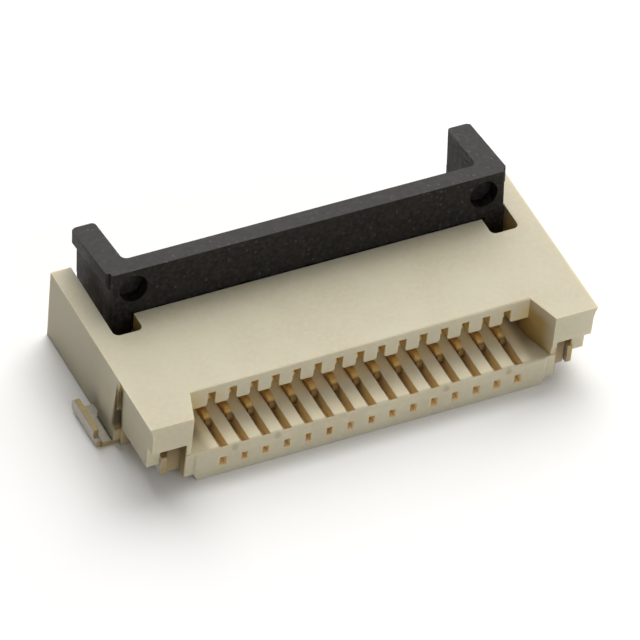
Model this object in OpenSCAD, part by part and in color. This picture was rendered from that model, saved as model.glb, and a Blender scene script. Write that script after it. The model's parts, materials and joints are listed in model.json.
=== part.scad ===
// Surface-mount right-angle connector for a flat flexible cable: 0.5 mm
// pitch, 15 contacts, with a rotary back-flip actuator shown open.
// X runs along the row of contacts, Y from the cable mouth to the solder
// tails, Z up from the circuit board. All lengths are millimetres.

/* [Contact row] */
// Distance between neighbouring contacts
pitch = 0.5; // [0.5:0.01:0.52]
// Thickness of the strip that the contacts are stamped from
contact_t = 0.15; // [0.12:0.01:0.15]
// Length of solder tail behind the housing
tail_len = 0.68; // [0.5:0.01:0.9]

/* [Housing] */
// Height of the housing above the board
body_h = 1.86; // [1.86:0.01:1.9]
// Depth of the housing from lip to rear wall
body_d = 5.17; // [5.17:0.01:5.3]
// Width of plastic from the last contact to the outer side face
end_margin = 1.8; // [1.8:0.01:1.9]
// Height of the mouth's floor
floor_z = 0.77; // [0.76:0.01:0.78]
// Height of the mouth's ceiling
ceil_z = 1.31; // [1.29:0.01:1.32]
// Depth at which the cable end stops
stop_y = 2.75; // [2.72:0.01:2.75]
// Draft of the side faces, over the full height
side_draft = 0.05; // [0:0.01:0.06]

/* [Actuator] */
// Backward lean of the open actuator, degrees from upright
open_lean = 7.9; // [0:0.1:7.9]
// Height of the actuator bar above the housing when open
bar_h = 1.096; // [1.0:0.01:1.12]
// Thickness of the bar
bar_t = 0.467; // [0.44:0.01:0.48]
// Length of the side arms, front face of bar to arm end
arm_len = 1.92; // [1.6:0.01:1.92]
// Radius of the cam shaft that the contacts hook over
shaft_r = 0.15; // [0.12:0.01:0.15]
// Radius of the two round pockets in the bar
pocket_r = 0.33; // [0.3:0.01:0.34]
// Side play taken up towards +X
side_play = 0.03; // [0:0.01:0.03]

/* [Hold-downs] */
// Thickness of the folded sheet
sheet_t = 0.125; // [0.1:0.005:0.125]
// Reach of the foot beyond the last contact
foot_reach = 2.21; // [2.1:0.01:2.4]
// Height of the upturned edge
flange_h = 0.38; // [0.25:0.01:0.5]

/* [Hidden] */
$fn = 40;
count = 15;
row = (count - 1) * pitch / 2;      // half the contact row
mid_y = (body_d + tail_len) / 2;    // the lip is Y = 0 before this shift

// stations across the width, measured from the middle of the row
mouth_x = row + 0.535;              // side of the mouth, deep inside
flare_x = row + 0.78;               // side of the mouth at the front
lip_x = row + 0.58;                 // underside of the lip
cheek_x = row + 0.905;              // outer face of the wall beside the mouth
pit_in = row + 0.65;                // end slot for the actuator's arm
pit_out = row + 1.32;
sheet_in = row + 1.38 - sheet_t;    // hold-down plate
sheet_out = row + 1.38;
side_x = row + end_margin;          // outer side face at the top

// cam shaft axis, and the actuator's own stations measured from it
cam_y = 3.8164;
cam_z = 1.58;
face_a = -0.42;                     // front face of the bar
back_a = face_a + bar_t;
foot_b = 0.2224;                    // where the front face meets the housing top
top_b = foot_b + bar_h;

function arc(cx, cy, r, a0, a1, n) =
    [for (i = [0 : n]) [cx + r * cos(a0 + (a1 - a0) * i / n), cy + r * sin(a0 + (a1 - a0) * i / n)]];
function xi(i) = (i - (count + 1) / 2) * pitch;

module yz(x0, x1, pts) translate([x0, 0, 0]) rotate([90, 0, 90]) linear_extrude(x1 - x0) polygon(pts);
module xz(y0, y1, pts) translate([0, y1, 0]) rotate([90, 0, 0]) linear_extrude(y1 - y0) polygon(pts);
module xy(z0, z1, pts) translate([0, 0, z0]) linear_extrude(z1 - z0) polygon(pts);
module block(x0, x1, y0, y1, z0, z1) translate([x0, y0, z0]) cube([x1 - x0, y1 - y0, z1 - z0]);
module both() { children(); mirror([1, 0, 0]) children(); }
module placed() translate([0, -mid_y, 0]) children();

// ---------- housing: one moulding ----------
module shell() {
    // rear two thirds, with drafted side faces
    xz(2.43, body_d, [[-side_x + side_draft, 0], [side_x - side_draft, 0], [side_x - 0.005, body_h], [-side_x + 0.005, body_h]]);
    // cheeks over the hold-down feet stand slightly proud at the bottom
    xz(1.60, 2.44, [[-side_x - 0.02, 0], [side_x + 0.02, 0], [side_x - 0.005, body_h], [-side_x + 0.005, body_h]]);
    // narrower front
    xz(0.28, 1.61, [[-side_x + 0.13, 0], [side_x - 0.13, 0], [side_x - 0.085, 1.60], [side_x - 0.05, 1.76], [side_x - 0.005, body_h],
                    [-side_x + 0.005, body_h], [-side_x + 0.05, 1.76], [-side_x + 0.085, 1.60]]);
    // overhanging brow each side of the mouth
    brow_x = side_x - 0.13 + 0.045 * 1.115 / 1.60;
    xz(0.046, 0.30, [[-brow_x, 1.115], [brow_x, 1.115], [side_x - 0.085, 1.60], [side_x - 0.05, 1.76], [side_x - 0.005, body_h],
                     [-side_x + 0.005, body_h], [-side_x + 0.05, 1.76], [-side_x + 0.085, 1.60]]);
    // walls beside the mouth
    both() block(lip_x, cheek_x, 0.046, 0.30, 0.16, body_h);
    // lower lip
    xz(0.046, 0.30, [[-lip_x, 0], [lip_x, 0], [lip_x + 0.10, 0.165], [lip_x + 0.10, floor_z], [-lip_x - 0.10, floor_z], [-lip_x - 0.10, 0.165]]);
    intersection() {
        xz(0, 0.05, [[-lip_x, 0], [lip_x, 0], [lip_x + 0.10, 0.165], [lip_x + 0.10, floor_z], [-lip_x - 0.10, floor_z], [-lip_x - 0.10, 0.165]]);
        xy(-1, 2, [[-lip_x - 0.13, 0.06], [-lip_x - 0.02, 0], [lip_x + 0.02, 0], [lip_x + 0.13, 0.06]]);
    }
}

// flared recess and the mouth behind it
module mouth() {
    xy(floor_z, 3, [[-flare_x - 0.02, -0.5], [-flare_x - 0.02, 0.0], [-flare_x, 0.046], [-mouth_x, 0.80],
                    [mouth_x, 0.80], [flare_x, 0.046], [flare_x + 0.02, 0.0], [flare_x + 0.02, -0.5]]);
    block(-mouth_x, mouth_x, 0.7, stop_y, floor_z, ceil_z);
    // rounded top edge of the lip
    yz(-flare_x - 0.1, flare_x + 0.1, concat([[-0.2, floor_z + 0.2], [-0.2, floor_z - 0.07]], [[0, floor_z - 0.07]],
        arc(0.07, floor_z - 0.07, 0.07, 180, 90, 5), [[0.07, floor_z + 0.2]]));
}

// everything cut for one contact
module contact_way(x) {
    // shallow run in the lip, deep slot behind it
    yz(x - 0.10, x + 0.10, [[0.05, floor_z + 0.1], [0.05, 0.60], [0.09, 0.56], [0.45, 0.50], [0.70, 0.42], [0.70, 0.10],
                            [stop_y + 0.1, 0.10], [stop_y + 0.1, floor_z + 0.1]]);
    // groove in the ceiling
    yz(x - 0.09, x + 0.09, [[0.7, ceil_z - 0.05], [stop_y + 0.1, ceil_z - 0.05], [stop_y + 0.1, 1.66], [0.7, 1.66]]);
    // with its lower corners rounded off
    xz(0.7, stop_y, [[x - 0.145, ceil_z - 0.05], [x + 0.145, ceil_z - 0.05], [x + 0.145, ceil_z], [x + 0.117, ceil_z + 0.008], [x + 0.098, ceil_z + 0.027],
                     [x + 0.09, ceil_z + 0.055], [x - 0.09, ceil_z + 0.055], [x - 0.098, ceil_z + 0.027], [x - 0.117, ceil_z + 0.008], [x - 0.145, ceil_z]]);
    // full-height slot to the rear
    block(x - 0.10, x + 0.10, stop_y - 0.01, body_d + 0.2, 0.10, 1.66);
    block(x - 0.10, x + 0.10, 4.95, body_d + 0.2, -0.2, 0.2);
    // square core hole in the lip's face
    block(x - 0.065, x + 0.065, -0.2, 0.35, 0.265, 0.47);
}

// slot at each end for the actuator's arm, open to the rear and below
module end_slot() {
    xy(0.75, 3, concat([[pit_out, body_d + 0.3], [pit_in, body_d + 0.3]],
        arc(pit_in + 0.12, 3.01, 0.12, 180, 270, 6), arc(pit_out - 0.14, 3.03, 0.14, 270, 360, 6)));
    block(pit_in, pit_out, 3.62, body_d + 0.3, -0.2, 1);
}

module housing() color([0.83, 0.80, 0.70]) placed() difference() {
    shell();
    mouth();
    for (i = [1 : count]) contact_way(xi(i));
    // open rear, where the actuator turns
    yz(-pit_in - 0.01, pit_in + 0.01, [[3.40, 3], [3.40, body_h - 0.02], [3.367, 1.62], [3.367, 1.10], [4.28, 1.10],
                                      [4.40, 1.45], [body_d + 0.3, 1.45], [body_d + 0.3, 3]]);
    both() {
        end_slot();
        // pocket for the hold-down's plate, open below
        block(sheet_in - 0.03, sheet_out, 0.1, 2.78, -0.2, 1.18);
        // clearance over the foot
        block(sheet_in - 0.03, side_x + 1, 1.60, 2.80, -0.2, sheet_t);
        // underside stepped up towards the front
        block(sheet_out - 0.01, side_x + 1, -0.5, 1.525, -0.2, 0.52);
        block(lip_x + 0.10, sheet_out, 0.27, 1.525, -0.2, 0.23);
        // notch under the brow
        block(cheek_x, side_x + 1, -0.5, 0.28, -0.5, 1.115);
        // relief slit in the cheek
        yz(side_x - 0.24, side_x + 1, [for (k = [0 : 19]) [1.655 + 0.062 * cos(k * 18) + 0.045 * sin(k * 18), 0.97 + 0.54 * sin(k * 18)]]);
    }
}

// ---------- actuator: one moulding, drawn about the cam shaft ----------
function under_b(a) = (body_h - 0.002 - cam_z + a * sin(open_lean)) / cos(open_lean);

module tooth_profile() {
    intersection() {
        circle(r = -face_a);
        translate([face_a, face_a]) square([-face_a + 0.20, 2 * -face_a]);
    }
}

module arm() {
    // side arm with rounded end corners
    xy(foot_b - 0.05, top_b, concat([[pit_in + 0.06, 0], [row + 1.14, 0]],
        arc(row + 1.08, 1.44 + arm_len - 1.92, 0.06, 0, 90, 4), arc(pit_in + 0.15, 1.41 + arm_len - 1.92, 0.09, 90, 180, 5)));
    // lip along the top outer edge
    intersection() {
        xz(face_a, 1.50 + arm_len - 1.92, [[row + 1.10, top_b], [row + 1.10, 0.78], [row + 1.14, 0.79], [row + 1.26, 0.985], [row + 1.26, top_b]]);
        xy(-2, 2, [[row, -0.30], [row + 1.23, -0.30], [row + 1.26, -0.25], [row + 1.26, 1.46 + arm_len - 1.92],
                   [row + 1.20, 1.50 + arm_len - 1.92], [row, 1.50 + arm_len - 1.92]]);
    }
    // leg that reaches into the end slot
    yz(pit_in + 0.06, row + 1.14, concat([[back_a, 0.4], [face_a, 0.4]],
        arc(face_a + 0.10, -0.60, 0.10, 180, 270, 5), [[0.10, -0.70], [0.32, -0.62], [0.52, -0.46], [0.68, -0.26], [0.79, -0.13], [0.92, -0.08], [1.38, -0.02], [1.44, 0.05], [1.44, 0.4]]));
    yz(row + 1.10, row + 1.175, concat([[back_a, 0.4], [face_a, 0.4]],
        arc(face_a + 0.10, -0.60, 0.10, 180, 270, 5), [[back_a, -0.70]]));
    // fillet between bar and arm
    difference() {
        xy(foot_b + 0.07, top_b, [[pit_in - 0.08, back_a - 0.02], [pit_in + 0.08, back_a - 0.02], [pit_in + 0.08, back_a + 0.14], [pit_in + 0.06, back_a + 0.14]]);
        translate([pit_in - 0.08, back_a + 0.14, 0]) cylinder(r = 0.14, h = 3);
    }
}

module actuator() color([0.17, 0.165, 0.17]) placed()
    translate([side_play, cam_y, cam_z]) rotate([-open_lean, 0, 0]) {
        difference() {
            union() {
                // bar with its outer front corners rounded, its underside level with the housing's top
                intersection() {
                    xy(foot_b - 0.1, top_b, concat(arc(-row - 1.115, face_a + 0.06, 0.06, 180, 270, 4), arc(row + 1.115, face_a + 0.06, 0.06, 270, 360, 4),
                        [[row + 1.175, back_a], [-row - 1.175, back_a]]));
                    yz(-row - 2, row + 2, [[face_a - 0.1, under_b(face_a - 0.1)], [back_a + 0.1, under_b(back_a + 0.1)], [back_a + 0.1, top_b + 1], [face_a - 0.1, top_b + 1]]);
                }
                // rounded nose below the bar
                translate([-row - 0.60, 0, 0]) rotate([90, 0, 90]) linear_extrude(2 * row + 1.20) tooth_profile();
                block(-row - 0.60, row + 0.60, face_a, back_a, 0, foot_b + 0.10);
                both() arm();
            }
            // a slot for each contact's hook, hidden below the housing's top
            for (i = [1 : count]) yz(xi(i) - side_play - 0.12, xi(i) - side_play + 0.12, [[-1, -1], [1, -1], [1, under_b(1)], [-1, under_b(-1)]]);
            // round pockets in the front face
            both() translate([row + 0.665, face_a - 0.1, 0.842]) rotate([-90, 0, 0]) cylinder(r = pocket_r, h = 0.40);
        }
        // cam shaft through all the slots
        translate([-row - 0.80, 0, 0]) rotate([0, 90, 0]) cylinder(r = shaft_r, h = 2 * row + 1.60);
    }

// ---------- contacts: stamped strip, one per position ----------
gap = 0.02;                         // running clearance round the cam shaft
tail_y = body_d + tail_len;
contact_outline = concat(
    // solder tail and bottom bar
    [[tail_y, 0], [tail_y, 0.12], [5.36, 0.12], [5.14, 0.36], [4.34, 0.36], [4.24, 0.50], [4.14, 1.20], [4.06, 1.38]],
    // cradle under the cam shaft
    arc(cam_y, cam_z, shaft_r + gap, -38, -142, 8),
    [[3.60, 1.38], [3.50, 1.20], [3.38, 1.13], [3.27, 1.16], [3.22, 1.26], [3.26, 1.37], [3.40, 1.43], [3.50, 1.55], [3.59, 1.68]],
    // hook over the shaft
    arc(cam_y, cam_z, shaft_r + gap, 130, -15, 10),
    arc(cam_y, cam_z, shaft_r + gap + 0.092, -15, 105, 8),
    [[3.66, 1.80], [3.56, 1.75], [3.47, 1.64], [3.36, 1.60], [3.0, 1.62], [2.86, 1.59], [2.6, 1.54], [1.7, 1.50], [1.10, 1.45],
     // upper beam tip
     [1.02, 1.40], [1.0, 1.31], [1.04, 1.245], [1.12, 1.215], [1.20, 1.245], [1.32, 1.34], [1.7, 1.38], [2.6, 1.39],
     [2.76, 1.32], [2.82, 1.20], [2.82, 0.84], [2.76, 0.72], [2.6, 0.66], [1.6, 0.655],
     // lower beam tip
     [1.36, 0.74], [1.24, 0.85], [1.16, 0.893], [1.08, 0.902], [0.98, 0.878], [0.86, 0.815], [0.80, 0.74], [0.79, 0.66], [0.82, 0.60],
     [0.88, 0.62], [0.94, 0.70], [1.03, 0.745], [1.14, 0.735], [1.26, 0.65], [1.40, 0.555], [1.7, 0.52], [2.6, 0.50], [2.70, 0.46], [2.70, 0.38],
     // bottom bar, front end
     [2.60, 0.34], [1.0, 0.30], [0.90, 0.24], [0.90, 0.14], [0.96, 0.10], [4.98, 0.10], [5.10, 0]]);

module contact(i) color([0.80, 0.62, 0.28]) placed()
    yz(xi(i) - contact_t / 2, xi(i) + contact_t / 2, contact_outline);

// ---------- hold-downs: one folded sheet each ----------
module hold_down() {
    fx = row + foot_reach;
    // front tab, seen in the notch
    yz(sheet_in, sheet_out, [[0.185, 0.28], [0.215, 0.25], [0.60, 0.25], [0.60, 0.74], [0.215, 0.74], [0.185, 0.71]]);
    // plate inside the pocket
    yz(sheet_in, sheet_out, [[0.55, 0.22], [1.66, 0.22], [1.66, 0.14], [2.74, 0.14], [2.74, 1.02], [2.66, 1.15], [0.63, 1.15], [0.55, 1.07]]);
    // bend and foot
    intersection() {
        xz(1.63, 2.77, concat([[sheet_out, 0.30], [sheet_in, 0.30]], arc(sheet_in + 0.16, 0.16, 0.16, 180, 270, 6),
            arc(fx - 0.07, 0.07, 0.07, 270, 360, 4), [[fx, 0.20], [fx - sheet_t, 0.20]],
            [[fx - sheet_t, 0.16], [fx - sheet_t - 0.035, sheet_t], [sheet_out + 0.035, sheet_t], [sheet_out, 0.16]]));
        xy(-1, 1, concat([[sheet_in - 0.1, 2.77], [sheet_in - 0.1, 1.63]], arc(fx - 0.14, 1.77, 0.14, 270, 360, 6), [[fx, 2.77]]));
    }
    // upturned edge
    intersection() {
        xz(1.80, 2.89, concat([[fx - sheet_t - 0.04, 0.04], [fx - sheet_t - 0.04, 0]], arc(fx - 0.07, 0.07, 0.07, 270, 360, 4),
            [[fx, flange_h - 0.03], [fx - 0.03, flange_h], [fx - sheet_t, flange_h], [fx - sheet_t, 0.16]]));
        yz(row, fx + 1, concat([[1.80, flange_h + 0.1], [1.80, -0.1], [2.72, -0.1], [2.72, 0]], arc(2.72, 0.17, 0.17, 270, 360, 6),
            arc(2.72, flange_h - 0.17, 0.17, 0, 90, 6), [[2.72, flange_h + 0.1]]));
    }
}

module hold_down_right() color([0.62, 0.58, 0.50]) placed() hold_down();
module hold_down_left() color([0.62, 0.58, 0.50]) placed() mirror([1, 0, 0]) hold_down();

housing();
actuator();
hold_down_left();
hold_down_right();
contact(1);  // contact_01
contact(2);  // contact_02
contact(3);  // contact_03
contact(4);  // contact_04
contact(5);  // contact_05
contact(6);  // contact_06
contact(7);  // contact_07
contact(8);  // contact_08
contact(9);  // contact_09
contact(10);  // contact_10
contact(11);  // contact_11
contact(12);  // contact_12
contact(13);  // contact_13
contact(14);  // contact_14
contact(15);  // contact_15
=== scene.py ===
import json
import math
import bmesh
import bpy
from mathutils import Matrix, Vector

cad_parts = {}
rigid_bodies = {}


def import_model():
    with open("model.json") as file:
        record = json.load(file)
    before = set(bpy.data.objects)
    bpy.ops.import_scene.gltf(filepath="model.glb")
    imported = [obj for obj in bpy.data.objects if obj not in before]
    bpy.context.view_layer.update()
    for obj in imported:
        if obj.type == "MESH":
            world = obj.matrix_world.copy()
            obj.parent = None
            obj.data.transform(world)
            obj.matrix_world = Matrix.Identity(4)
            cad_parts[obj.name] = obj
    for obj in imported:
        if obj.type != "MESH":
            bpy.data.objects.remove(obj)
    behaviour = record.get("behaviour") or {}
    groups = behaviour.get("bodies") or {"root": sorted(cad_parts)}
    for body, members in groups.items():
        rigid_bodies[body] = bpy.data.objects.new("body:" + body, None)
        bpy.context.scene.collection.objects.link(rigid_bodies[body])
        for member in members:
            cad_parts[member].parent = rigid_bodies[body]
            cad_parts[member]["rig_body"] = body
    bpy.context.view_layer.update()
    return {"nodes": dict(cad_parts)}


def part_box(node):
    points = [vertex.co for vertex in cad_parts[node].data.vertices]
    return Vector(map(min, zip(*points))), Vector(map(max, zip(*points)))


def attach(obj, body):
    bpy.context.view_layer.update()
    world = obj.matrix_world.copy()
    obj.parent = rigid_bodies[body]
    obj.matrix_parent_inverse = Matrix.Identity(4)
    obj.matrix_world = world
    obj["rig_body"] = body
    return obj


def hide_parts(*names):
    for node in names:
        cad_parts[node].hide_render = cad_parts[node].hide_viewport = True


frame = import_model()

MM = 0.001
scene = bpy.context.scene
nodes = frame["nodes"]


# ---------------------------------------------------------------- rounded edges
# A moulding or a stamping has no knife edges. Each CAD mesh is copied, its
# flat faces are joined up, and every outer edge gets a radius as large as the
# faces beside it leave room for. The shape is otherwise the CAD's.
def smooth_group():
    """Smooth faces, sharp where two faces meet at more than 40 degrees."""
    g = bpy.data.node_groups.new("smooth_by_angle", "GeometryNodeTree")
    g.interface.new_socket("Geometry", in_out="INPUT", socket_type="NodeSocketGeometry")
    g.interface.new_socket("Geometry", in_out="OUTPUT", socket_type="NodeSocketGeometry")
    a, z = g.nodes.new("NodeGroupInput"), g.nodes.new("NodeGroupOutput")
    f = g.nodes.new("GeometryNodeSetShadeSmooth")
    f.domain = "FACE"
    f.inputs["Shade Smooth"].default_value = True
    e = g.nodes.new("GeometryNodeSetShadeSmooth")
    e.domain = "EDGE"
    ang = g.nodes.new("GeometryNodeInputMeshEdgeAngle")
    c = g.nodes.new("ShaderNodeMath")
    c.operation = "LESS_THAN"
    c.inputs[1].default_value = math.radians(40)
    g.links.new(ang.outputs[0], c.inputs[0])
    g.links.new(a.outputs[0], f.inputs[0])
    g.links.new(f.outputs[0], e.inputs[0])
    g.links.new(c.outputs[0], e.inputs["Shade Smooth"])
    g.links.new(e.outputs[0], z.inputs[0])
    return g


SMOOTH = smooth_group()


def gap_between(a, b, c, d):
    """Least distance from an end of one segment to the other segment."""

    def point(p, q, r):
        qr = r - q
        t = max(0.0, min(1.0, (p - q).dot(qr) / max(qr.length_squared, 1e-18)))
        return (q + qr * t - p).length

    return min(point(a, c, d), point(b, c, d), point(c, a, b), point(d, a, b))


def even_out(bm, w):
    """One radius along each run of edges that bends only a little, such as an arc."""
    pairs = []
    for v in bm.verts:
        es = [e for e in v.link_edges if e.index in w]
        if len(es) == 2:
            a, b = (e.other_vert(v).co - v.co for e in es)
            if a.length > 0 and b.length > 0 and a.normalized().dot(b.normalized()) < -0.64:
                pairs.append((es[0].index, es[1].index))
    for _ in range(80):
        moved = False
        for i, j in pairs:
            x = min(w[i], w[j])
            if w[i] - x > 1e-9 or w[j] - x > 1e-9:
                w[i] = w[j] = x
                moved = True
        if not moved:
            break


def off_segment(p, a, b):
    """Distance from a point to a segment."""
    ab = b - a
    q = max(0.0, min(1.0, (p - a).dot(ab) / max(ab.length_squared, 1e-18)))
    return (a + ab * q - p).length


def knife_edges(bm):
    """Edges that are this sharp in the CAD itself, so not a fault of the rounding."""
    return [tuple(v.co.copy() for v in e.verts) for e in bm.edges
            if e.is_manifold and e.calc_face_angle(0) > math.radians(125)]


def faults(bm, knives):
    """Places where rounding has folded a face over or made it cross itself."""
    spots = [(a + b) / 2 for a, b in knife_edges(bm)]
    spots = [p for p in spots if not any(off_segment(p, a, b) < 0.01 * MM for a, b in knives)]
    cover = {}
    for a, b, c in bm.calc_loop_triangles():
        cover[a.face] = cover.get(a.face, 0) + (b.vert.co - a.vert.co).cross(c.vert.co - a.vert.co).length / 2
    for f in bm.faces:
        if cover.get(f, 0) > 1.01 * signed_area(f) + 1e-12:
            near = [l.vert.co.copy() for l in f.loops if l.calc_angle() < math.radians(30) or not l.is_convex]
            spots += near or [l.vert.co.copy() for l in f.loops]
    return spots


def signed_area(f):
    vs = [v.co for v in f.verts]
    n = Vector((0, 0, 0))
    for i, v in enumerate(vs):
        n += (v - vs[0]).cross(vs[(i + 1) % len(vs)] - vs[0])
    return n.length / 2


def edge_radii(bm, width, min_angle, size_at):
    """The radius each outer edge can take without using up a face beside it."""
    w = {}
    for e in bm.edges:
        if len(e.link_faces) == 2 and e.calc_face_angle_signed(0) > math.radians(min_angle):
            w[e.index] = width * size_at((e.verts[0].co + e.verts[1].co) / 2 / MM)
    keep = 0.82
    for _ in range(60):
        change = {}
        for f in bm.faces:
            ls = list(f.loops)
            n = len(ls)
            for i, l in enumerate(ls):
                e, nxt = l.edge, ls[(i + 1) % n]
                mine, used, near = w.get(e.index, 0), 0.0, []
                for other, corner in ((ls[i - 1].edge, l), (nxt.edge, nxt)):
                    v = corner.vert
                    d1, d2 = e.other_vert(v).co - v.co, other.other_vert(v).co - v.co
                    if not corner.is_convex or d1.length < 1e-9 or d2.length < 1e-9:
                        continue
                    c = max(-1.0, min(1.0, d1.normalized().dot(d2.normalized())))
                    sn = math.sqrt(max(0.0, 1 - c * c))
                    if sn > 0.1:
                        used += max(0.0, (w.get(other.index, 0) + mine * c) / sn)
                        near.append(other.index)
                if near and used > keep * e.calc_length():
                    k = max(keep * e.calc_length() / used, 0.5)
                    for j in near + [e.index]:
                        if j in w:
                            change[j] = min(change.get(j, 1), k)
        if not change:
            break
        for j, k in change.items():
            w[j] *= k
    for f in bm.faces:
        es = list(f.edges)
        for i, a in enumerate(es[:-1]):
            for b in es[i + 1:]:
                wa, wb = w.get(a.index, 0), w.get(b.index, 0)
                if wa + wb == 0 or set(a.verts) & set(b.verts):
                    continue
                d = gap_between(a.verts[0].co, a.verts[1].co, b.verts[0].co, b.verts[1].co)
                if wa + wb > keep * d:
                    for j in (a.index, b.index):
                        if j in w:
                            w[j] *= keep * d / (wa + wb)
    even_out(bm, w)
    return w


def moulded(name, width, segments=3, min_angle=32, size_at=lambda p: 1.0):
    src = nodes[name]
    me = bpy.data.meshes.new(name + "_moulded")
    bm = bmesh.new()
    bm.from_mesh(src.data)
    bmesh.ops.remove_doubles(bm, verts=bm.verts, dist=1e-6)
    bmesh.ops.dissolve_limit(bm, angle_limit=math.radians(0.6), verts=bm.verts, edges=bm.edges)
    bm.edges.ensure_lookup_table()
    for f in bm.faces:
        f.smooth = True
        f.material_index = 0
    w = edge_radii(bm, width * MM, min_angle, size_at)
    layer = bm.edges.layers.float.new("bevel_weight_edge")
    mids = {i: tuple(v.co.copy() for v in bm.edges[i].verts) for i in w}
    knives = knife_edges(bm)
    o = bpy.data.objects.new(name + "_moulded", me)
    scene.collection.objects.link(o)
    m = o.modifiers.new("round", "BEVEL")
    m.width = width * MM
    m.segments = segments
    m.limit_method = "WEIGHT"
    m.use_clamp_overlap = False
    top = width * MM

    def weigh():
        for i, x in w.items():
            bm.edges[i][layer] = min(1.0, x / top) if x > 0.003 * MM else 0.0
        bm.to_mesh(me)

    best = None
    for _ in range(12):
        weigh()
        made = bpy.data.meshes.new_from_object(o.evaluated_get(bpy.context.evaluated_depsgraph_get()))
        t = bmesh.new()
        t.from_mesh(made)
        folds = faults(t, knives)
        t.free()
        bpy.data.meshes.remove(made)
        if best is None or len(folds) < len(best[0]):
            best = (folds, dict(w))
        if not folds:
            break
        for i, (a, b) in mids.items():
            if any(off_segment(p, a, b) < 1.6 * top for p in folds):
                w[i] *= 0.45
        even_out(bm, w)
    folds, w = best
    weigh()
    if folds:
        print(name, "faults left", len(folds), [tuple(round(x / MM, 3) for x in p) for p in folds[:6]])
    bm.free()
    m = o.modifiers.new("smooth", "NODES")
    m.node_group = SMOOTH
    m = o.modifiers.new("flats", "WEIGHTED_NORMAL")
    m.keep_sharp = True
    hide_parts(name)
    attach(o, src["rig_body"])
    return o


def moved_copy(piece, of_node, name):
    """The same rounded piece again, at another contact's place."""
    o = piece.copy()
    o.data = piece.data.copy()
    o.name = o.data.name = name + "_moulded"
    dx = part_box(name)[0][0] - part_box(of_node)[0][0]
    o.data.transform(Matrix.Translation((dx, 0, 0)))
    scene.collection.objects.link(o)
    for key in list(o.keys()):
        if key.startswith("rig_"):
            del o[key]
    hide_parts(name)
    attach(o, nodes[name]["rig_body"])
    return o


# ---------------------------------------------------------------- materials
class Mat:
    """A node material whose pattern coordinates are millimetres on the part."""

    def __init__(self, name):
        self.m = bpy.data.materials.new(name)
        self.m.use_nodes = True
        self.t = self.m.node_tree
        self.t.nodes.clear()
        self.out = self.t.nodes.new("ShaderNodeOutputMaterial")
        self.b = self.t.nodes.new("ShaderNodeBsdfPrincipled")
        self.link(self.b.outputs[0], self.out.inputs[0])
        tc = self.t.nodes.new("ShaderNodeTexCoord")
        mp = self.t.nodes.new("ShaderNodeMapping")
        mp.inputs["Scale"].default_value = (1000, 1000, 1000)
        self.link(tc.outputs["Object"], mp.inputs[0])
        self.co = mp.outputs[0]

    def link(self, a, b):
        self.t.links.new(a, b)

    def parts(self, socket):
        n = self.t.nodes.new("ShaderNodeSeparateXYZ")
        self.link(socket, n.inputs[0])
        return n.outputs[0], n.outputs[1], n.outputs[2]

    def place(self):
        return self.parts(self.co)

    def normal(self):
        """The face's direction on the part, which stays the same as the part turns."""
        tc = self.t.nodes.new("ShaderNodeTexCoord")
        return self.parts(tc.outputs["Normal"])

    def noise(self, scale, detail=4, rough=0.55, co=None):
        n = self.t.nodes.new("ShaderNodeTexNoise")
        n.inputs["Scale"].default_value = scale
        n.inputs["Detail"].default_value = detail
        n.inputs["Roughness"].default_value = rough
        self.link(co or self.co, n.inputs["Vector"])
        return n.outputs[0]

    def voronoi(self, scale, co=None):
        n = self.t.nodes.new("ShaderNodeTexVoronoi")
        n.inputs["Scale"].default_value = scale
        self.link(co or self.co, n.inputs["Vector"])
        return n

    def ramp(self, src, lo, hi, c0, c1):
        """Maps src from lo..hi to the colours or numbers c0..c1."""
        n = self.t.nodes.new("ShaderNodeMapRange")
        n.interpolation_type = "SMOOTHSTEP"
        n.inputs["From Min"].default_value = lo
        n.inputs["From Max"].default_value = hi
        self.link(src, n.inputs["Value"])
        if isinstance(c0, (tuple, list)):
            x = self.t.nodes.new("ShaderNodeMix")
            x.data_type = "RGBA"
            x.inputs["A"].default_value = (*c0, 1)
            x.inputs["B"].default_value = (*c1, 1)
            self.link(n.outputs[0], x.inputs["Factor"])
            return x.outputs["Result"]
        n.inputs["To Min"].default_value = c0
        n.inputs["To Max"].default_value = c1
        return n.outputs[0]

    def mix(self, fac, a, b, blend="MIX"):
        x = self.t.nodes.new("ShaderNodeMix")
        x.data_type = "RGBA"
        x.blend_type = blend
        for sock, v in (("Factor", fac), ("A", a), ("B", b)):
            i = x.inputs[sock]
            if hasattr(v, "is_output") or isinstance(v, bpy.types.NodeSocket):
                self.link(v, i)
            elif isinstance(v, (tuple, list)):
                i.default_value = (*v, 1)
            else:
                i.default_value = v
        return x.outputs["Result"]

    def math(self, op, a, b=0.0, c=None, clamp=False):
        n = self.t.nodes.new("ShaderNodeMath")
        n.operation = op
        n.use_clamp = clamp
        for k, v in enumerate((a, b, c)):
            if v is None:
                continue
            if isinstance(v, bpy.types.NodeSocket):
                self.link(v, n.inputs[k])
            else:
                n.inputs[k].default_value = v
        return n.outputs[0]

    def bump(self, height, strength, distance):
        n = self.t.nodes.new("ShaderNodeBump")
        n.inputs["Strength"].default_value = strength
        n.inputs["Distance"].default_value = distance * MM
        self.link(height, n.inputs["Height"])
        self.link(n.outputs[0], self.b.inputs["Normal"])
        return n

    def set(self, **kw):
        for k, v in kw.items():
            s = self.b.inputs[k.replace("_", " ")]
            if isinstance(v, bpy.types.NodeSocket):
                self.link(v, s)
            elif isinstance(v, (tuple, list)) and len(v) == 3 and s.type == "RGBA":
                s.default_value = (*v, 1)
            else:
                s.default_value = v


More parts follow.
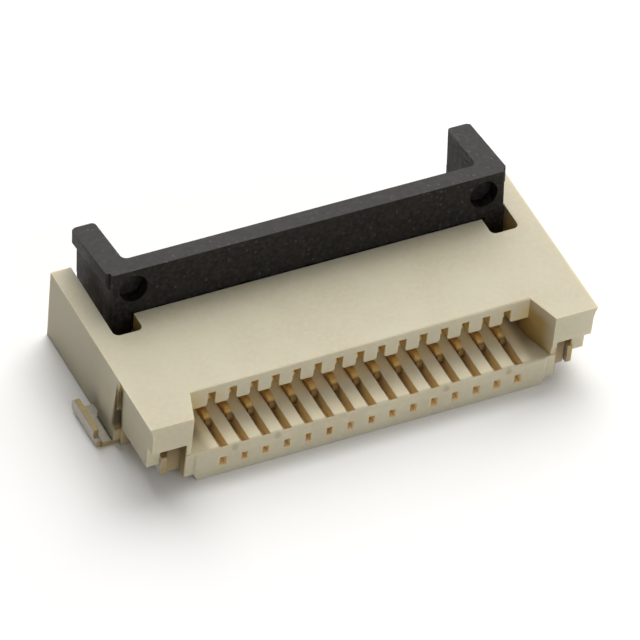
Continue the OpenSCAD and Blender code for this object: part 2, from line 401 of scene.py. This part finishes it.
def ivory():
    k = Mat("ivory_plastic")
    cloud = k.noise(0.55, 3, 0.5)
    grain = k.noise(9.0, 5, 0.6)
    col = k.ramp(cloud, 0.35, 0.68, (0.515, 0.468, 0.335), (0.555, 0.515, 0.382))
    col = k.mix(k.ramp(grain, 0.35, 0.7, 0.0, 0.5), col, (0.585, 0.545, 0.42))
    nx, ny, nz = k.normal()
    x, y, z = k.place()
    ax = k.math("ABSOLUTE", x)
    ao = k.t.nodes.new("ShaderNodeAmbientOcclusion")
    ao.only_local = True
    ao.samples = 8
    ao.inputs["Distance"].default_value = 1.2 * MM
    ao = ao.outputs["AO"]
    # painted amber glow and shade in recesses, strongest where most enclosed and weaker on flat floors
    flat = k.math("MULTIPLY", k.ramp(nz, 0.5, 0.9, 0.0, 1.0), k.ramp(z, 0.79, 0.85, 1.0, 0.0))
    painted_recess_glow = k.math("MULTIPLY", k.ramp(ao, 0.86, 0.45, 0.0, 1.0), k.math("SUBTRACT", 1.0, k.math("MULTIPLY", flat, 0.8)))
    col = k.mix(painted_recess_glow, col, (0.56, 0.40, 0.135))
    # painted light on the floor of the mouth and the runs in it: lighter than the resin, more amber where enclosed
    inside = k.math("MULTIPLY", k.ramp(ax, 3.68, 3.95, 1.0, 0.0), k.ramp(y, -2.90, -2.80, 0.0, 1.0))
    low = k.math("MULTIPLY", inside, k.ramp(z, 0.79, 0.81, 1.0, 0.0))
    col = k.mix(k.math("MULTIPLY", low, flat), col, k.ramp(ao, 0.30, 0.65, (0.93, 0.765, 0.46), (0.85, 0.775, 0.575)))
    # painted amber light on the runs' side walls, strongest where most enclosed
    painted_run_wall_light = k.math("MULTIPLY", low, k.math("MULTIPLY", k.ramp(k.math("ABSOLUTE", nx), 0.6, 0.9, 0.0, 1.0), k.ramp(ao, 0.75, 0.5, 0.0, 1.0)))
    col = k.mix(painted_run_wall_light, col, (0.94, 0.76, 0.46))
    # painted amber shade inside the small square holes in the lip's face
    painted_hole_shade = k.math("MULTIPLY", k.math("MULTIPLY", k.ramp(ao, 0.80, 0.60, 0.0, 1.0), k.ramp(y, -2.56, -2.62, 0.0, 1.0)), k.math("MULTIPLY", k.ramp(z, 0.49, 0.52, 1.0, 0.0), k.ramp(ax, 3.62, 3.68, 1.0, 0.0)))
    col = k.mix(painted_hole_shade, col, (0.80, 0.60, 0.30))
    # painted shadow on the floor beside the last runs, towards the jaw
    painted_end_shadow = k.math("MULTIPLY", k.math("MULTIPLY", flat, k.ramp(ax, 3.72, 4.0, 0.0, 1.0)), k.ramp(y, -2.62, -2.15, 0.0, 0.75))
    col = k.mix(painted_end_shadow, col, (0.30, 0.215, 0.10))
    # painted shade on the thin side walls of the mouth, stronger further back and lower down
    painted_wall_shade = k.math("MULTIPLY", k.ramp(ax, 3.95, 4.02, 0.0, 1.0), k.math("MULTIPLY", k.ramp(ax, 4.30, 4.33, 1.0, 0.0), k.ramp(k.math("ABSOLUTE", nx), 0.6, 0.85, 0.0, 1.0)))
    painted_wall_shade = k.math("MULTIPLY", painted_wall_shade, k.math("MULTIPLY", k.ramp(y, -2.89, -2.45, 0.25, 0.95), k.ramp(z, 1.80, 1.45, 0.3, 1.0)))
    painted_wall_shade = k.math("MULTIPLY", painted_wall_shade, k.ramp(z, 0.70, 0.76, 0.0, 1.0))
    col = k.mix(painted_wall_shade, col, (0.37, 0.245, 0.075))
    # painted shade under the brows, darkest at the top
    painted_brow_shade = k.math("MULTIPLY", k.ramp(ax, 4.375, 4.40, 0.0, 1.0), k.ramp(ax, 4.76, 4.82, 1.0, 0.0))
    painted_brow_shade = k.math("MULTIPLY", painted_brow_shade, k.math("MULTIPLY", k.ramp(y, -2.60, -2.635, 0.0, 1.0), k.ramp(z, 1.09, 1.11, 1.0, 0.0)))
    col = k.mix(painted_brow_shade, col, k.ramp(z, 0.20, 1.0, (0.40, 0.31, 0.175), (0.17, 0.115, 0.055)))
    # painted shade on the outer side faces, greyer and darker, stronger towards the rear
    painted_side_shade = k.math("MULTIPLY", k.ramp(ax, 5.12, 5.16, 0.0, 1.0), k.ramp(k.math("ABSOLUTE", nx), 0.7, 0.95, 0.0, 1.0))
    col = k.mix(k.math("MULTIPLY", painted_side_shade, k.ramp(y, -1.6, -0.2, 0.2, 0.85)), col, (0.415, 0.375, 0.27))
    # painted shade in the soft crease at the relief slits: narrow at the top, wide at the bottom
    half = k.ramp(z, 0.45, 1.55, 0.155, 0.10)
    painted_crease_shade = k.ramp(k.math("DIVIDE", k.math("ABSOLUTE", k.math("ADD", y, 1.285)), half), 0.45, 1.2, 1.0, 0.0)
    painted_crease_shade = k.math("MULTIPLY", painted_crease_shade, k.math("MULTIPLY", k.ramp(z, 0.36, 0.60, 0.0, 1.0), k.ramp(z, 1.50, 1.80, 1.0, 0.0)))
    painted_crease_shade = k.math("MULTIPLY", painted_crease_shade, k.ramp(ax, 4.9, 5.0, 0.0, 1.0))
    col = k.mix(k.math("MULTIPLY", painted_crease_shade, 0.95), col, (0.115, 0.088, 0.05))
    # painted shade for soft dimples at the top of the lip's face, between some of the contacts; the mesh has no dimples
    # there
    for cx in (-3.25, -2.25, 1.75, 3.25):
        dx, dz = k.math("SUBTRACT", x, cx), k.math("SUBTRACT", z, 0.685)
        d = k.math("ADD", k.math("MULTIPLY", dx, dx), k.math("MULTIPLY", dz, dz))
        painted_dimple_shade = k.math("MULTIPLY", k.ramp(d, 0.0005, 0.011, 0.42, 0.0), k.ramp(y, -2.80, -2.86, 0.0, 1.0))
        col = k.mix(painted_dimple_shade, col, (0.30, 0.235, 0.135))
    # painted shade in the hidden throat under the bar
    painted_throat_shade = k.math("MULTIPLY", k.ramp(ax, 4.10, 4.14, 1.0, 0.0), k.math("MULTIPLY", k.ramp(y, 0.43, 0.45, 0.0, 1.0), k.ramp(y, 0.60, 0.66, 1.0, 0.0)))
    painted_throat_shade = k.math("MULTIPLY", painted_throat_shade, k.ramp(z, 1.845, 1.835, 0.0, 1.0))
    col = k.mix(painted_throat_shade, col, (0.03, 0.024, 0.016))
    k.set(Base_Color=col, Roughness=k.ramp(grain, 0.3, 0.7, 0.50, 0.62), Specular_IOR_Level=0.35)
    k.set(Subsurface_Weight=0.45, Subsurface_Radius=(1.0, 0.72, 0.34), Subsurface_Scale=0.00022)
    k.bump(grain, 0.12, 0.01)
    return k.m


def black():
    k = Mat("black_plastic")
    grain = k.noise(9.5, 4, 0.62)
    cloud = k.noise(1.7, 3, 0.55)
    fleck = k.voronoi(9.5)
    col = k.ramp(grain, 0.36, 0.68, (0.0030, 0.0022, 0.0018), (0.024, 0.0205, 0.0185))
    col = k.mix(k.ramp(cloud, 0.4, 0.7, 0.0, 0.35), col, (0.018, 0.0155, 0.0145))
    # glass and mineral filler shows as fine pale specks
    spot = k.ramp(fleck.outputs["Distance"], 0.12, 0.42, 1.0, 0.0)
    tint = k.parts(fleck.outputs["Color"])[0]
    col = k.mix(k.math("MULTIPLY", spot, k.ramp(tint, 0.70, 0.98, 0.0, 0.5)), col, (0.085, 0.08, 0.082))
    k.set(Base_Color=col, Roughness=k.ramp(grain, 0.3, 0.7, 0.5, 0.68), Specular_IOR_Level=0.24)
    k.bump(grain, 0.4, 0.02)
    return k.m


def gold():
    k = Mat("gold_plate")
    grain = k.noise(22.0, 3, 0.6)
    x, y, z = k.place()
    col = k.ramp(grain, 0.3, 0.7, (0.76, 0.50, 0.15), (0.88, 0.62, 0.25))
    # painted shade at the very tip, where the beam turns down
    col = k.mix(k.ramp(y, -2.075, -2.005, 0.85, 0.0), col, (0.12, 0.058, 0.02))
    # painted shade on the contacts in the throat under the bar
    painted_throat_shade = k.math("MULTIPLY", k.math("MULTIPLY", k.ramp(y, 0.30, 0.40, 0.0, 1.0), k.ramp(y, 0.74, 0.80, 1.0, 0.0)), k.ramp(z, 1.50, 1.56, 0.0, 1.0))
    col = k.mix(painted_throat_shade, col, (0.02, 0.015, 0.01))
    k.set(Base_Color=col, Metallic=0.6, Roughness=k.ramp(grain, 0.3, 0.7, 0.5, 0.62), Specular_IOR_Level=0.3)
    k.bump(grain, 0.1, 0.01)
    return k.m


def tin():
    k = Mat("tin_plate")
    grain = k.noise(12.0, 4, 0.6)
    face = k.ramp(grain, 0.3, 0.7, (0.52, 0.485, 0.42), (0.60, 0.56, 0.49))
    cut = k.ramp(grain, 0.3, 0.7, (0.38, 0.29, 0.13), (0.48, 0.37, 0.18))
    nx, ny, nz = k.normal()
    x, y, z = k.place()
    # the strip's cut edges: front and rear ends, and the top of the upturned edge
    end = k.ramp(k.math("ABSOLUTE", ny), 0.55, 0.8, 0.0, 1.0)
    top = k.math("MULTIPLY", k.ramp(nz, 0.6, 0.85, 0.0, 1.0), k.ramp(z, 0.25, 0.3, 0.0, 1.0))
    col = k.mix(k.math("MAXIMUM", end, top), face, cut)
    # painted shade where the foot leaves the housing and in the bend
    ax = k.math("ABSOLUTE", x)
    low = k.ramp(z, 0.13, 0.17, 1.0, 0.0)
    painted_gap_shade = k.math("MULTIPLY", k.math("MULTIPLY", low, k.ramp(nz, 0.5, 0.8, 0.0, 1.0)), k.math("MULTIPLY", k.ramp(ax, 5.33, 5.38, 1.0, 0.0), k.ramp(y, -0.50, -0.56, 0.0, 1.0)))
    painted_bend_shade = k.math("MULTIPLY", k.ramp(z, 0.12, 0.30, 1.0, 0.0), k.ramp(k.math("ABSOLUTE", k.math("SUBTRACT", ax, 5.58)), 0.01, 0.05, 1.0, 0.0))
    painted_bend_shade = k.math("MULTIPLY", painted_bend_shade, k.ramp(nz, -0.3, 0.1, 0.0, 1.0))
    col = k.mix(k.math("MAXIMUM", painted_gap_shade, k.math("MULTIPLY", painted_bend_shade, 0.6)), col, (0.085, 0.07, 0.04))
    k.set(Base_Color=col, Metallic=0.45, Roughness=k.ramp(grain, 0.3, 0.7, 0.48, 0.62))
    k.bump(grain, 0.15, 0.01)
    return k.m


def housing_size(p):
    """Smaller radii round the thin walls of the relief slits and under the bar."""
    if abs(p.x) > 5.0 and -1.5 < p.y < -1.1 and 0.3 < p.z < 1.6:
        return 0.3
    if abs(p.x) < 4.3 and 0.4 < p.y < 0.6 and p.z > 1.7:
        return 0.15
    return 1.0


def actuator_size(p):
    """Nearly sharp where the bar meets the housing's top."""
    return 0.25 if abs(p.x) < 4.2 and 1.80 < p.z < 1.95 else 1.0


SIZE_AT = {"housing": housing_size, "actuator": actuator_size}


MATS = {"housing": ivory(), "actuator": black(), "contact": gold(), "hold_down": tin()}
SHOWN = {}
for name, obj in nodes.items():
    key = name.rsplit("_", 1)[0] if name.startswith(("contact", "hold_down")) else name
    obj.data.materials.clear()
    obj.data.materials.append(MATS[key])
    width, seg = {"housing": (0.05, 3), "actuator": (0.04, 3), "contact": (0.02, 2), "hold_down": (0.03, 2)}[key]
    if key == "contact" and "contact_01" in SHOWN:
        piece = moved_copy(SHOWN["contact_01"], "contact_01", name)
    else:
        piece = moulded(name, width, seg, size_at=SIZE_AT.get(key, lambda p: 1.0))
        piece.data.materials.append(MATS[key])
    SHOWN[name] = piece


# ---------------------------------------------------------------- stage
def floor_material():
    k = Mat("floor")
    col = k.ramp(k.noise(0.05, 3, 0.5), 0.3, 0.7, (0.93, 0.93, 0.93), (0.95, 0.95, 0.95))
    k.set(Base_Color=col, Roughness=0.9, Specular_IOR_Level=0.1)
    return k.m


bpy.ops.mesh.primitive_plane_add(size=3.0, location=(0, 0, -0.0))
floor = bpy.context.object
floor.name = "floor"
floor.data.materials.append(floor_material())

world = bpy.data.worlds.new("studio")
scene.world = world
world.use_nodes = True
bg = world.node_tree.nodes["Background"]
bg.inputs[1].default_value = 0.31
# dimmer towards the left, as beside one big softbox
wt = world.node_tree
wc = wt.nodes.new("ShaderNodeTexCoord")
wx = wt.nodes.new("ShaderNodeSeparateXYZ")
wr = wt.nodes.new("ShaderNodeMapRange")
wr.inputs["From Min"].default_value = -0.9
wr.inputs["From Max"].default_value = 0.5
wr.inputs["To Min"].default_value = 0.35
wr.inputs["To Max"].default_value = 1.15
wt.links.new(wc.outputs["Generated"], wx.inputs[0])
wt.links.new(wx.outputs[0], wr.inputs["Value"])
wt.links.new(wr.outputs[0], bg.inputs[0])


def area(name, loc, target, size, power, colour=(1, 1, 1), shape="SQUARE", size_y=None):
    d = bpy.data.lights.new(name, "AREA")
    d.energy = power
    d.color = colour
    d.size = size
    if size_y:
        d.shape = "RECTANGLE"
        d.size_y = size_y
    o = bpy.data.objects.new(name, d)
    scene.collection.objects.link(o)
    o.location = loc
    o.rotation_euler = (Vector(target) - Vector(loc)).to_track_quat("-Z", "Y").to_euler()
    return o


area("key", (0.144, 0.25, 0.277), (0, 0, 0), 0.50, 2.85, (1.0, 0.985, 0.96))
area("fill", (0.05, -0.40, 0.16), (0, 0, 0), 0.25, 0.42, (1.0, 0.985, 0.96))


# ---------------------------------------------------------------- camera
def camera():
    f_px, az, el, roll, dist = 8552.675526, -30.33935867, 43.82735379, 6.79123837, 183.413196
    cx, cy = -0.07125483, 0.11396703
    a, e, r = (math.radians(v) for v in (az, el, roll))
    back = Vector((math.sin(a) * math.cos(e), -math.cos(a) * math.cos(e), math.sin(e)))
    right = (-back).cross(Vector((0, 0, 1))).normalized()
    up = right.cross(-back)
    x = right * math.cos(r) + up * math.sin(r)
    y = -right * math.sin(r) + up * math.cos(r)
    aim = Vector((0, 2.5 - 2.925, 0.9))
    pos = (aim + x * cx + y * cy + back * dist) * MM
    m = Matrix((x, y, back)).transposed().to_4x4()
    m.translation = pos
    d = bpy.data.cameras.new("camera")
    d.sensor_width = 36
    d.sensor_fit = "HORIZONTAL"
    d.lens = f_px / 640 * 36
    d.clip_start = 0.005
    d.clip_end = 20
    o = bpy.data.objects.new("camera", d)
    scene.collection.objects.link(o)
    o.matrix_world = m
    scene.camera = o


camera()
scene.view_settings.view_transform = "Standard"
scene.view_settings.look = "None"

bpy.context.view_layer.update()
